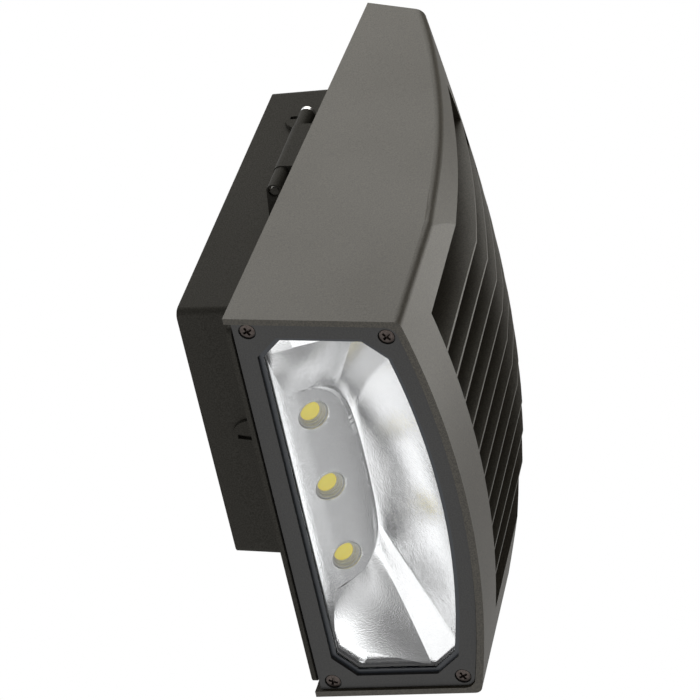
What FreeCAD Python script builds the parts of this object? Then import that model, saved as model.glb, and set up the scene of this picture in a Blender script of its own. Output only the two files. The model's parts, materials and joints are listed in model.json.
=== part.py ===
import FreeCAD, Part
import math
import os

# Wall pack light. Millimetres. X is the width, Z is up, the wall is the plane y = 0
# and the lamp faces -Y. The origin is the middle of the wall box's back face.
# Heights in the lamp head are measured upward from the plane of the lens door.

V = FreeCAD.Vector

# ---- fits
SEAT_GAP = 0.05            # screws, pins and plugs in the holes that hold them
RUN_GAP = 0.08             # hinge pin in the turning ear, closure screw in its lug
MOVE_GAP = 0.3             # between knuckles, and anything else that passes
OVER = 1.0                 # how far a cutting tool runs past the face it cuts

# ---- lamp head, outside
DOOR_DROP = 162.9          # door plane below the middle of the wall box
HEAD_HALF = 119.61         # half width where the side planes meet the wall plane
HEAD_DRAFT = 0.042         # sides close in towards the front, per mm
HEAD_TAPER = 0.03          # sides close in towards the top, per mm
HEAD_BACK = -50.3          # back edge of the side walls
HEAD_LOW = -0.7            # lip below the door plane
TOP_BACK = 294.9           # height of the top at the back edge
TOP_SLOPE = 0.23           # fall of the top towards the front, per mm
EDGE_R = 4.5               # rounded edge between sides and front
HEAD_WALL = 3.4

# ---- bowed front: an upper face and a lower face that meet in a kink
UPPER_R = 796.56           # side view radius of the upper face
UPPER_CENTRE_Y = 627.24
UPPER_CENTRE_H = -59.22
BOW_MID = 0.001493         # bow of the upper face across the width at BOW_HEIGHT
BOW_FALL = 0.00000654      # how the bow flattens per mm of height
BOW_HEIGHT = 160.0
BOW_FLOOR = 100.0          # below this height the bow stays the same
LOWER_Y = -151.67          # lower face at the door plane
LOWER_LEAN = 0.06          # lower face leans back, per mm
LOWER_R = 454.6
REACH = HEAD_HALF + 10.39  # half width of the cutting tools
FRONT_END = LOWER_Y - 18.0 # front end of the cutting tools
SECTIONS = (-20.0, 40.0, 100.0, 150.0, 200.0, 250.0, TOP_BACK + 15.1)

# ---- fins
FIN_COUNT = 10
FIN_PITCH = 15.3
FIN_TIP = 1.4
FIN_ROOT = 2.6
FIN_DEPTH = 28.0
FIN_RUN = 12.0             # a fin's plate runs this far past the bow before the trim
WINDOW_HALF = HEAD_HALF - 28.51
WINDOW_LOW = 38.0
WINDOW_HIGH = 240.0
WEB = 3.0                  # casting thickness behind the slots
CORNER_R = 2.0             # rounded upper corners of the window

# ---- lens door
DOOR_FACE = 0.8
DOOR_TOP = 4.0
DOOR_BACK = -53.3
DOOR_FRONT = LOWER_Y + 4.37
DOOR_GAP = 0.5
DOOR_CORNER_R = 6.0
DOOR_CORNER_Y = DOOR_FRONT + 12.3
RECESS_FLOOR = 2.6
RIM_LOW = 5.5              # underside of the housing's rim above the door
LENS_SIDE = HEAD_HALF - 14.91   # widest part of the lens opening
LENS_FRONT = DOOR_FRONT + 7.4
LENS_CORNERS = (
    (LENS_SIDE - 11.2, -62.6),
    (LENS_SIDE, -74.1),
    (LENS_SIDE - 1.7, LENS_FRONT + 23.4),
    (LENS_SIDE - 13.2, LENS_FRONT + 10.7),
)
LIP_IN = 2.5               # gasket lip that shows inside the opening
LIP_T = 0.8
GLASS_GROW = 3.0
GLASS_T = 3.2
GASKET_GROW = 4.2
CHAMBER_GROW = 4.8
GASKET_IN = 0.6            # door gasket set in from the door's edge
GASKET_SHY = 0.2           # door gasket set back from the chamber's edge
DOOR_SCREWS = ((LENS_SIDE + 3.9, -60.6), (LENS_SIDE - 0.3, LENS_FRONT + 10.7))
DOOR_HEAD_R = 4.0
DOOR_HEAD_RECESS = 4.35
DOOR_HEAD_H = 1.8
DOOR_HEAD_PROUD = 0.2
DOOR_SHANK_R = 2.0
DOOR_SCREW_L = 12.0

# ---- light engine, set square to a tilted platform
LED_Y = -75.8
LED_H = 22.3
LED_TILT = 38.0
LED_PITCH = 43.7
LED_HOLE_R = 7.9
SHEET = 1.0
COLLAR_L = 5.4
DISC_R = 5.2
DISC_FRONT = 6.2
DISC_T = 0.5
MODULE_SIDE = 15.85
MODULE_T = 1.2
BOARD_W = 116.0
BOARD_D = 22.0
BOARD_T = 1.6
PAD_T = 0.5
SHELF_T = 5.0
SHELF_FLAT = 50.7          # underside of the level part of the shelf

# ---- lamp board's screws and the hole for its leads
BOARD_SCREW_R = 1.5
BOARD_HEAD_R = 2.8
BOARD_HEAD_H = 1.6
BOARD_BITE = 3.3           # length of thread in the shelf
LEAD_R = 4.0
LEAD_FROM_END = 12.0       # lead hole's middle beyond the board's end

# ---- reflector: rings of four corners a side and an arc across the front
MOUTH_H = 8.8
MOUTH_FRONT = LENS_FRONT + 1.5
MOUTH = (
    (LENS_SIDE - 14.5, -63.9),
    (LENS_SIDE - 8.2, -88.0),
    (LENS_SIDE - 1.9, LENS_FRONT + 27.9),
    (LENS_SIDE - 16.4, LENS_FRONT + 12.1),
)
WAIST = (
    (LENS_SIDE - 27.7, -66.2, 13.6),
    (LENS_SIDE - 27.9, -82.5, 19.4),
    (LENS_SIDE - 28.2, -98.3, 25.1),
    (LENS_SIDE - 47.6, -103.0, 30.5),
)
WAIST_FRONT = (-117.0, 31.5)
PLATFORM_HALF = LED_PITCH + 16.7
SHOULDER = (
    (PLATFORM_HALF + 0.8, -67.4, 15.3),
    (PLATFORM_HALF - 3.4, -79.9, 26.3),
    (PLATFORM_HALF - 10.9, -86.3, 36.0),
    (PLATFORM_HALF - 26.9, -89.4, 36.6),
)
SHOULDER_FRONT = (-91.8, 36.2)
PLATFORM = (
    (PLATFORM_HALF, -68.6),
    (PLATFORM_HALF - 4.2, -79.3),
    (PLATFORM_HALF - 12.4, -85.4),
    (PLATFORM_HALF - 26.9, -88.5),
)
PLATFORM_FRONT = -90.5
LEAN = 0.6                 # share of the sheet that a leaning wall is moved by
FOLD = 1.6                 # share of the sheet that the deep fold is moved up by
FLANGE_T = 0.8
FLANGE_GROW = 3.5
REFLECTOR_SCREW = (LENS_SIDE - 2.7, -75.0)
REFLECTOR_SCREW_R = 1.5
REFLECTOR_HEAD_R = 2.3
REFLECTOR_HEAD_H = 1.2
REFLECTOR_SCREW_L = 7.0
REFLECTOR_SUNK = 0.5       # shank carried into its head
SCREW_LUG_HALF = 4.0

# ---- rear cover
COVER_BACK = -50.0
COVER_T = 2.4
COVER_HALF = HEAD_HALF - 10.11
COVER_TOP = TOP_BACK - 8.9
COVER_R = 4.0
RIM_T = 4.5
RIM_OPEN_HALF = HEAD_HALF - 21.61
RIM_OPEN_LOW = 32.0
RIM_OPEN_HIGH = TOP_BACK - 16.9
SEAL_OUT = 1.5             # seal ring distance outside the rim's opening
SEAL_W = 2.5
SEAL_T = 1.5
COVER_SHANK_R = 2.0
SCREW_FROM_SEAL = 1.0
COVER_SCREW_HALF = RIM_OPEN_HALF + SEAL_OUT + SEAL_W + SCREW_FROM_SEAL + COVER_SHANK_R
COVER_SCREW_LOW = RIM_OPEN_LOW + 4.0
COVER_SCREW_HIGH = RIM_OPEN_HIGH - 2.0
COVER_SCREW_HEIGHTS = (COVER_SCREW_LOW, (COVER_SCREW_LOW + COVER_SCREW_HIGH) / 2.0, COVER_SCREW_HIGH)
COVER_HEAD_R = 3.8
COVER_HEAD_H = 1.8
COVER_SCREW_L = 8.0
COVER_BOSS_R = 5.0
COVER_BOSS_L = 5.0

# ---- driver on the cover's inside
DRIVER_W = 130.0
DRIVER_H = 62.0
DRIVER_D = 27.0
DRIVER_MID = 160.0
DRIVER_EAR = 12.0
DRIVER_EAR_T = 1.5
DRIVER_POST_R = 4.0
DRIVER_POST_L = 5.0
DRIVER_SCREW_R = 1.5
DRIVER_HEAD_R = 2.8
DRIVER_HEAD_H = 1.6
DRIVER_R = 3.0

# ---- wall box
BOX_HALF_W = 76.3
BOX_HALF_H = 99.8
BOX_DEPTH = 48.3
BOX_DRAFT = 0.036
BOX_R = 4.5
BOX_WALL = 3.5
BOX_FLOOR = 5.0
BOX_SEAL_T = 1.5
BOX_SEAL_IN = 0.6          # seal set in from the box's outside
BOX_SEAL_W = 2.4
WALL_SEAL_T = 1.5
WALL_SEAL_IN = 3.5
WALL_SEAL_W = 7.0
CORNER_HOLE = (BOX_HALF_W - 18.3, BOX_HALF_H - 19.8)
CORNER_HOLE_R = 2.75
SLOT_SPACING = 88.9
SLOT_W = 5.4
SLOT_L = 12.0
SUPPLY_R = 11.2
GROUND_AT = (32.3 - BOX_HALF_W, 47.8 - BOX_HALF_H)
GROUND_R = 2.0
GROUND_HEAD_R = 4.0
GROUND_HEAD_H = 2.2
GROUND_BOSS_R = 5.5
GROUND_BOSS_H = 7.0
GROUND_L = 5.0
GROUND_SLOT_W = 1.0
GROUND_SLOT_D = 1.0

# ---- conduit entries and plugs
ENTRY_Y = -25.7
ENTRY_Z = BOX_HALF_H - 30.3
ENTRY_RECESS_R = 11.2
ENTRY_RECESS = 0.6
ENTRY_R = 10.45
ENTRY_BOSS_R = 15.0
ENTRY_L = 10.0
PLUG_RISE = 2.0            # plug's head stands out of the box
PLUG_RIM = 10.9
PLUG_END = 1.0             # plug ends short of the entry's inner end
PLUG_SLOT_L = 16.0
PLUG_SLOT_W = 2.6
PLUG_SLOT_D = 2.2
PLUG_TURNS = (-7.0, 0.0, 9.0)

# ---- hinge
HINGE_X = -BOX_HALF_W - 15.7
HINGE_Y = -33.9
KNUCKLE_R = 4.1
EAR_R = 4.5
KNUCKLE_TOP = 51.0
EAR_TOP = 36.5
EAR_LOW = -2.3
KNUCKLE_LOW = -18.5
PIN_R = 2.2
PIN_HEAD_R = 4.0
PIN_HEAD_H = 2.2
PIN_SHORT = 0.4            # pin ends above the knuckle's lower face
CLIP_POCKET_R = 3.2
CLIP_POCKET = 2.4
CLIP_T = 1.0
ARM_FRONT = -41.0          # arm's front and back where it meets the box
ARM_BACK = -28.0
ARM_ROOT_X = 0.8 - BOX_HALF_W

# ---- closure on the other side
CLOSE_Y = -39.5
CLOSE_R = 2.5
CLOSE_HEAD_R = 4.5
CLOSE_HEAD_H = 4.0
CLOSE_SLOT_W = 1.4
CLOSE_SLOT_D = 1.5
CLOSE_TRAVEL = 7.5
CLOSE_BOSS_X = BOX_HALF_W + 2.6
CLOSE_BOSS_R = 5.6
CLOSE_BOSS_IN = BOX_HALF_W - 12.3
CLOSE_TIP = CLOSE_BOSS_X + 1.5
RING_R = 4.0
RING_T = 1.2
LUG_X = CLOSE_BOSS_X + CLOSE_TRAVEL + RING_T + MOVE_GAP + RUN_GAP
LUG_T = 5.0
LUG_BACK = -31.0
LUG_MID_Z = 21.0
LUG_HALF_H = 10.0

# ---- lead bushing through the cover
BUSH_Z = -38.0
BUSH_R = 7.0
BUSH_BORE_R = 4.5
BUSH_FLANGE_R = 9.5
BUSH_FLANGE_T = 1.5


def up(height):
    """Z of a height above the door plane."""
    return height - DOOR_DROP


def top_at(y, drop=0.0):
    return TOP_BACK + TOP_SLOPE * (y - HEAD_BACK) - drop


def side_at(y, height, inset=0.0):
    return HEAD_HALF + HEAD_DRAFT * y - HEAD_TAPER * height - inset


def cylinder(radius, length, start, axis):
    return Part.makeCylinder(radius, length, start, axis)


def cuboid(x0, x1, y0, y1, z0, z1):
    return Part.makeBox(x1 - x0, y1 - y0, z1 - z0, V(x0, y0, z0))


def mirrored(points):
    """Points for both signs of x."""
    return [(side * x, y) for side in (-1.0, 1.0) for x, y in points]


def join(shapes):
    first = shapes[0]
    if len(shapes) == 1:
        return first
    return first.fuse(shapes[1:])


def group(solids):
    return Part.makeCompound(solids)


def six_faced(low, high):
    """Solid between two four-cornered faces given in the same turning order."""
    faces = [Part.Face(Part.makePolygon(low + low[:1]))]
    faces.append(Part.Face(Part.makePolygon(high + high[:1])))
    for i in range(4):
        j = (i + 1) % 4
        ring = [low[i], low[j], high[j], high[i], low[i]]
        faces.append(Part.Face(Part.makePolygon(ring)))
    solid = Part.makeSolid(Part.makeShell(faces))
    if solid.Volume < 0:
        solid.reverse()
    return solid


def rounded_outline(points, radius):
    """Closed wire through the points with every corner rounded."""
    edges = []
    count = len(points)
    starts = []
    for i in range(count):
        corner = points[i]
        back = (points[i - 1] - corner).normalize()
        ahead = (points[(i + 1) % count] - corner).normalize()
        half = back.getAngle(ahead) / 2.0
        run = radius / math.tan(half)
        middle = (back + ahead).normalize()
        bend = corner + middle * (radius / math.sin(half) - radius)
        starts.append((corner + back * run, bend, corner + ahead * run))
    for i in range(count):
        first, bend, last = starts[i]
        edges.append(Part.Arc(first, bend, last).toShape())
        edges.append(Part.makeLine(last, starts[(i + 1) % count][0]))
    return Part.Wire(edges)


# ---------------------------------------------------------------- head outside

def head_block(inset, y_back, y_front, low, drop):
    """Tapered block between the side planes, under the sloping top."""
    lower = []
    upper = []
    for side, y in ((-1, y_back), (1, y_back), (1, y_front), (-1, y_front)):
        lower.append(V(side * side_at(y, low, inset), y, up(low)))
        top = top_at(y, drop)
        upper.append(V(side * side_at(y, top, inset), y, up(top)))
    return six_faced(lower, upper)


def upper_face_y(height):
    rise = height - UPPER_CENTRE_H
    return UPPER_CENTRE_Y - math.sqrt(UPPER_R ** 2 - rise ** 2)


def bow(height):
    return BOW_MID - BOW_FALL * (max(height, BOW_FLOOR) - BOW_HEIGHT)


def bowed_wire(y_mid, y_end, z):
    left = V(-REACH, y_end, z)
    right = V(REACH, y_end, z)
    arc = Part.Arc(left, V(0, y_mid, z), right).toShape()
    back_right = V(REACH, REACH, z)
    back_left = V(-REACH, REACH, z)
    sides = Part.makePolygon([right, back_right, back_left, left])
    return Part.Wire([arc] + sides.Edges)


def upper_tool(shift):
    wires = []
    for height in SECTIONS:
        y = upper_face_y(height) + shift
        wires.append(bowed_wire(y, y + bow(height) * REACH ** 2, up(height)))
    return Part.makeLoft(wires, True, False)


def lower_tool(shift):
    start = SECTIONS[0]
    y = LOWER_Y + LOWER_LEAN * start + shift
    wire = bowed_wire(y, y + REACH ** 2 / (2.0 * LOWER_R), up(start))
    rise = SECTIONS[-1] - start
    return Part.Face(wire).extrude(V(0, LOWER_LEAN * rise, rise))


def behind_front(shape, shift):
    """What is left of a shape behind both front faces moved back by a shift."""
    return shape.common(upper_tool(shift)).common(lower_tool(shift))


def side_front_edges(shape):
    """Long edges where a side plane meets the front."""
    picked = []
    for edge in shape.Edges:
        spots = [edge.valueAt(edge.FirstParameter + share * (edge.LastParameter - edge.FirstParameter))
                 for share in (0.1, 0.5, 0.9)]
        on_side = all(abs(abs(p.x) - side_at(p.y, p.z + DOOR_DROP)) < 0.05 for p in spots)
        ahead = all(p.y < HEAD_BACK - 20.0 for p in spots)
        upright = abs(spots[0].z - spots[2].z) > 8.0
        if on_side and ahead and upright:
            picked.append(edge)
    return picked


def head_outside():
    block = head_block(0.0, HEAD_BACK, FRONT_END, HEAD_LOW, 0.0)
    body = behind_front(block, 0.0)
    return body.makeFillet(EDGE_R, side_front_edges(body))


# ---------------------------------------------------------------- fins

def fin(x):
    """One upright plate, thin at the front and thicker at its root."""
    rows = []
    for height in (WINDOW_LOW - OVER, WINDOW_HIGH + OVER):
        span = (height - WINDOW_LOW) / (WINDOW_HIGH - WINDOW_LOW)
        low_y = LOWER_Y + LOWER_LEAN * WINDOW_LOW
        front = low_y + span * (upper_face_y(WINDOW_HIGH) - low_y)
        grow = (FIN_ROOT - FIN_TIP) / FIN_DEPTH / 2.0
        behind = FIN_DEPTH + FIN_RUN
        thin = FIN_TIP / 2.0 - grow * FIN_RUN
        thick = FIN_TIP / 2.0 + grow * behind
        y0 = front - FIN_RUN
        y1 = front + behind
        z = up(height)
        rows.append([V(x - thin, y0, z), V(x + thin, y0, z), V(x + thick, y1, z), V(x - thick, y1, z)])
    return six_faced(rows[0], rows[1])


def slots():
    low = up(WINDOW_LOW)
    high = up(WINDOW_HIGH)
    window = cuboid(-WINDOW_HALF, WINDOW_HALF, FRONT_END, HEAD_BACK, low, high)
    cut = window.cut(upper_tool(FIN_DEPTH).common(lower_tool(FIN_DEPTH)))
    first = -FIN_PITCH * (FIN_COUNT - 1) / 2.0
    plates = [fin(first + i * FIN_PITCH) for i in range(FIN_COUNT)]
    return cut.cut(plates)


# ---------------------------------------------------------------- lens outline

def lens_face(grow, z):
    right = [V(x, y, z) for x, y in LENS_CORNERS]
    left = [V(-x, y, z) for x, y in LENS_CORNERS]
    edges = [Part.makeLine(left[0], right[0])]
    for i in range(3):
        edges.append(Part.makeLine(right[i], right[i + 1]))
    edges.append(Part.Arc(right[3], V(0, LENS_FRONT, z), left[3]).toShape())
    for i in (3, 2, 1):
        edges.append(Part.makeLine(left[i], left[i - 1]))
    face = Part.Face(Part.Wire(edges))
    if grow == 0.0:
        return face
    return face.makeOffset2D(grow, 2)


def lens_prism(grow, low, high):
    return lens_face(grow, up(low)).extrude(V(0, 0, high - low))


# ---------------------------------------------------------------- tilted frame of the lamps

def tilt_point(x, along, deep):
    """Along runs forward and up in the platform, deep runs into the housing."""
    turn = math.radians(LED_TILT)
    y = LED_Y - along * math.cos(turn) + deep * math.sin(turn)
    height = LED_H + along * math.sin(turn) + deep * math.cos(turn)
    return V(x, y, up(height))


def tilt_axis():
    turn = math.radians(LED_TILT)
    return V(0, math.sin(turn), math.cos(turn))


def tilt_slab(x0, x1, along0, along1, deep0, deep1):
    low = [tilt_point(x0, along0, deep0), tilt_point(x1, along0, deep0)]
    low += [tilt_point(x1, along1, deep0), tilt_point(x0, along1, deep0)]
    high = [tilt_point(x0, along0, deep1), tilt_point(x1, along0, deep1)]
    high += [tilt_point(x1, along1, deep1), tilt_point(x0, along1, deep1)]
    return six_faced(low, high)


def platform_h(y):
    return LED_H + (LED_Y - y) * math.tan(math.radians(LED_TILT))


def disc_back():
    return DISC_FRONT + DISC_T


def module_back():
    return disc_back() + MODULE_T


def board_back():
    return module_back() + BOARD_T


def shelf_deep():
    return board_back() + PAD_T


def lamp_places():
    return (-LED_PITCH, 0.0, LED_PITCH)


def board_screw_places():
    return (-LED_PITCH * 0.5, LED_PITCH * 0.5)


# ---------------------------------------------------------------- housing

def side_view_prism(outline, half):
    points = [V(-half, y, up(height)) for y, height in outline]
    face = Part.Face(Part.makePolygon(points + points[:1]))
    return face.extrude(V(2.0 * half, 0, 0))


def slope_height(y, deep):
    """Height of the tilted plane at a depth behind the platform."""
    turn = math.radians(LED_TILT)
    return LED_H + (LED_Y - y) * math.tan(turn) + deep / math.cos(turn)


def slope_y(height, deep):
    turn = math.radians(LED_TILT)
    return LED_Y - (height - LED_H - deep / math.cos(turn)) / math.tan(turn)


def lower_chamber():
    deep = shelf_deep()
    low = RIM_LOW - OVER
    outline = [(HEAD_BACK, low), (HEAD_BACK, slope_height(HEAD_BACK, deep))]
    outline += [(slope_y(SHELF_FLAT, deep), SHELF_FLAT), (FRONT_END, SHELF_FLAT), (FRONT_END, low)]
    under = side_view_prism(outline, REACH)
    shallow = lens_prism(CHAMBER_GROW, low, WINDOW_LOW - WEB).common(under)
    tall = lens_prism(CHAMBER_GROW, low, SHELF_FLAT).common(under)
    tall = tall.common(lower_tool(FIN_DEPTH + WEB))
    return shallow.fuse(tall)


def over_shelf():
    deep = shelf_deep() + SHELF_T
    top = SHELF_FLAT + SHELF_T
    back = HEAD_BACK + OVER
    high = TOP_BACK + OVER
    outline = [(back, slope_height(back, deep)), (slope_y(top, deep), top)]
    outline += [(FRONT_END, top), (FRONT_END, high), (back, high)]
    return side_view_prism(outline, REACH)


def upper_chamber():
    back = COVER_BACK - COVER_T - RIM_T
    block = head_block(HEAD_WALL, back, FRONT_END, HEAD_LOW, HEAD_WALL).common(over_shelf())
    behind = behind_front(block, FIN_DEPTH + WEB)
    full = behind_front(block, HEAD_WALL)
    out = WINDOW_HALF + HEAD_WALL
    strips = [cuboid(out, REACH, FRONT_END, back, up(0.0), up(TOP_BACK)),
              cuboid(-REACH, -out, FRONT_END, back, up(0.0), up(TOP_BACK))]
    header = cuboid(-REACH, REACH, FRONT_END, back, up(WINDOW_HIGH + HEAD_WALL), up(TOP_BACK))
    ahead = full.common(join(strips + [header]))
    return behind.fuse(ahead)


def door_prism(grow, low, high, back):
    """Door outline grown by a clearance, as a prism with rounded front corners."""
    z = up(low)
    front = DOOR_FRONT - grow
    gap = HEAD_WALL + DOOR_GAP - grow
    corner_y = front + side_at(DOOR_CORNER_Y, 0.0, gap) ** 2 / (2.0 * LOWER_R)
    x_back = side_at(back, 0.0, gap)
    x_front = side_at(corner_y, 0.0, gap)
    right = Part.makeLine(V(x_back, back, z), V(x_front, corner_y, z))
    arc = Part.Arc(V(x_front, corner_y, z), V(0, front, z), V(-x_front, corner_y, z)).toShape()
    left = Part.makeLine(V(-x_front, corner_y, z), V(-x_back, back, z))
    rear = Part.makeLine(V(-x_back, back, z), V(x_back, back, z))
    prism = Part.Face(Part.Wire([rear, right, arc, left])).extrude(V(0, 0, high - low))
    middle = (DOOR_FRONT + DOOR_BACK) / 2.0
    corners = [e for e in prism.Edges if e.BoundBox.ZLength > OVER and e.CenterOfMass.y < middle]
    return prism.makeFillet(DOOR_CORNER_R + grow, corners)


def trapezoid(half, low, high, radius, y):
    """Outline of the rear opening, narrowing upward like the sides."""
    points = []
    for side, height in ((-1, low), (1, low), (1, high), (-1, high)):
        points.append(V(side * (half - HEAD_TAPER * height), y, up(height)))
    return Part.Face(rounded_outline(points, radius))


def seal_ring(grow, depth):
    y = COVER_BACK - COVER_T
    outer_grow = SEAL_OUT + SEAL_W + grow
    inner_grow = SEAL_OUT - grow
    outer = trapezoid(RIM_OPEN_HALF + outer_grow, RIM_OPEN_LOW - outer_grow,
                      RIM_OPEN_HIGH + outer_grow, COVER_R + outer_grow, y)
    inner = trapezoid(RIM_OPEN_HALF + inner_grow, RIM_OPEN_LOW - inner_grow,
                      RIM_OPEN_HIGH + inner_grow, COVER_R + inner_grow, y)
    return outer.cut(inner).extrude(V(0, -depth, 0))


def cover_screw_places():
    places = []
    for height in COVER_SCREW_HEIGHTS:
        x = COVER_SCREW_HALF - HEAD_TAPER * height
        places += [V(-x, COVER_BACK, up(height)), V(x, COVER_BACK, up(height))]
    return places


def reflector_blocks():
    """Lugs on the side walls that the reflector is screwed to."""
    x, y = REFLECTOR_SCREW
    half = SCREW_LUG_HALF
    low = up(MOUTH_H + FLANGE_T)
    high = up(SHELF_FLAT)
    blocks = [cuboid(x - half, REACH, y - half, y + half, low, high)]
    blocks.append(cuboid(-REACH, half - x, y - half, y + half, low, high))
    return blocks


def housing_holes():
    """Screw holes, and the passage of the lamp leads through the shelf."""
    ahead = V(0, -1, 0)
    rise = V(0, 0, 1)
    holes = []
    for place in cover_screw_places():
        holes.append(cylinder(COVER_SHANK_R + SEAT_GAP, COVER_SCREW_L + MOVE_GAP, place, ahead))
    tip = DOOR_FACE - DOOR_HEAD_PROUD + DOOR_SCREW_L + MOVE_GAP
    for x, y in mirrored(DOOR_SCREWS):
        start = V(x, y, up(RIM_LOW - OVER))
        holes.append(cylinder(DOOR_SHANK_R + SEAT_GAP, tip - RIM_LOW + OVER, start, rise))
    for x, y in mirrored([REFLECTOR_SCREW]):
        start = V(x, y, up(MOUTH_H))
        holes.append(cylinder(REFLECTOR_SCREW_R + SEAT_GAP, REFLECTOR_SCREW_L + MOVE_GAP, start, rise))
    for x in board_screw_places():
        start = tilt_point(x, 0.0, board_back())
        holes.append(cylinder(BOARD_SCREW_R + SEAT_GAP, PAD_T + BOARD_BITE + MOVE_GAP, start, tilt_axis()))
    lead = tilt_point(BOARD_W / 2.0 + LEAD_FROM_END, 0.0, shelf_deep() - OVER)
    holes.append(cylinder(LEAD_R, SHELF_T + 2.0 * OVER, lead, tilt_axis()))
    return holes


def housing():
    ahead = V(0, -1, 0)
    body = head_outside()
    body = body.cut(slots())
    bosses = []
    for place in cover_screw_places():
        start = V(place.x, COVER_BACK - COVER_T, place.z)
        bosses.append(cylinder(COVER_BOSS_R, RIM_T + COVER_BOSS_L, start, ahead))
    body = body.cut(upper_chamber().cut(bosses))
    body = body.cut(lower_chamber().cut(reflector_blocks()))
    seat = COVER_BACK - COVER_T
    body = body.cut(head_block(HEAD_WALL, HEAD_BACK + OVER, seat, HEAD_LOW - OVER, HEAD_WALL))
    opening = trapezoid(RIM_OPEN_HALF, RIM_OPEN_LOW, RIM_OPEN_HIGH, COVER_R, seat)
    body = body.cut(opening.extrude(V(0, -RIM_T, 0)))
    body = body.cut(seal_ring(SEAT_GAP, SEAL_T))
    body = body.cut(door_prism(DOOR_GAP, HEAD_LOW - OVER, RIM_LOW, HEAD_BACK + OVER))
    return body.cut(housing_holes())


# ---------------------------------------------------------------- door, glass, seals

def lens_door():
    body = door_prism(0.0, DOOR_FACE, DOOR_TOP, DOOR_BACK)
    body = body.cut(lens_prism(0.0, DOOR_FACE - OVER, DOOR_TOP + OVER))
    body = body.cut(lens_prism(GASKET_GROW + SEAT_GAP, RECESS_FLOOR, DOOR_TOP + OVER))
    holes = []
    for x, y in mirrored(DOOR_SCREWS):
        start = V(x, y, up(DOOR_FACE - OVER))
        holes.append(cylinder(DOOR_SHANK_R + SEAT_GAP, DOOR_TOP - DOOR_FACE + 2.0 * OVER, start, V(0, 0, 1)))
        seat = V(x, y, up(DOOR_FACE - DOOR_HEAD_PROUD))
        holes.append(cylinder(DOOR_HEAD_RECESS, DOOR_HEAD_H, seat, V(0, 0, 1)))
    return body.cut(holes)


def door_gasket():
    ring = door_prism(-GASKET_IN, DOOR_TOP, RIM_LOW, DOOR_BACK - GASKET_IN)
    ring = ring.cut(lens_prism(CHAMBER_GROW + GASKET_SHY, DOOR_TOP - OVER, RIM_LOW + OVER))
    holes = []
    for x, y in mirrored(DOOR_SCREWS):
        start = V(x, y, up(DOOR_TOP - OVER))
        holes.append(cylinder(DOOR_SHANK_R + MOVE_GAP, RIM_LOW - DOOR_TOP + 2.0 * OVER, start, V(0, 0, 1)))
    return ring.cut(holes)


def door_screws():
    screws = []
    for x, y in mirrored(DOOR_SCREWS):
        face = up(DOOR_FACE - DOOR_HEAD_PROUD)
        head = cylinder(DOOR_HEAD_R, DOOR_HEAD_H, V(x, y, face), V(0, 0, 1))
        shank = cylinder(DOOR_SHANK_R, DOOR_SCREW_L, V(x, y, face), V(0, 0, 1))
        screws.append(head.fuse(shank))
    return group(screws)


def glass_low():
    return RECESS_FLOOR + LIP_T


def lens_glass():
    return lens_prism(GLASS_GROW, glass_low(), glass_low() + GLASS_T)


def glass_gasket():
    top = glass_low() + GLASS_T + LIP_T
    ring = lens_prism(GASKET_GROW, RECESS_FLOOR, top)
    ring = ring.cut(lens_prism(-LIP_IN, RECESS_FLOOR - OVER, top + OVER))
    return ring.cut(lens_glass())


# ---------------------------------------------------------------- reflector

def closed_ring(points, front):
    """Eight edges: four corners on each side and an arc across the front."""
    right = [V(*p) for p in points]
    left = [V(-p[0], p[1], p[2]) for p in points]
    edges = [Part.makeLine(left[0], right[0])]
    for i in range(3):
        edges.append(Part.makeLine(right[i], right[i + 1]))
    edges.append(Part.Arc(right[3], V(0, front[0], front[1]), left[3]).toShape())
    for i in (3, 2, 1):
        edges.append(Part.makeLine(left[i], left[i - 1]))
    return Part.Wire(edges)


def wall_rings(grow):
    """Mouth and waist: the walls lean outward, so their outside is wider."""
    rise = grow / math.cos(math.radians(LED_TILT))
    lean = grow * LEAN
    mouth = []
    waist = []
    for i in range(4):
        away = grow if i == 0 else -lean
        x, y = MOUTH[i]
        mouth.append((x + grow, y + away, up(MOUTH_H)))
        x, y, height = WAIST[i]
        waist.append((x + grow, y + away, up(height + rise)))
    front, height = WAIST_FRONT
    return [closed_ring(mouth, (MOUTH_FRONT - grow, up(MOUTH_H))),
            closed_ring(waist, (front - lean, up(height + rise)))]


def fold_rings(grow):
    """The deep fold, and the edge of the platform that stands out of it."""
    rise = grow / math.cos(math.radians(LED_TILT))
    lean = grow * LEAN
    fold = []
    edge = []
    for i in range(4):
        x, y, height = SHOULDER[i]
        if i == 0:
            fold.append((x + lean, y + grow, up(height + lean)))
        else:
            fold.append((x, y, up(height + grow * FOLD)))
        x, y = PLATFORM[i]
        edge.append((x - lean, y + lean, up(platform_h(y + lean) + rise)))
    front, height = SHOULDER_FRONT
    edge_front = PLATFORM_FRONT + lean
    return [closed_ring(fold, (front, up(height + grow * FOLD))),
            closed_ring(edge, (edge_front, up(platform_h(edge_front) + rise)))]


def reflector_volume(grow):
    """Space inside the reflector, or its outside when grown by the sheet."""
    return Part.makeLoft(wall_rings(grow) + fold_rings(grow), True, True)


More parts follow.
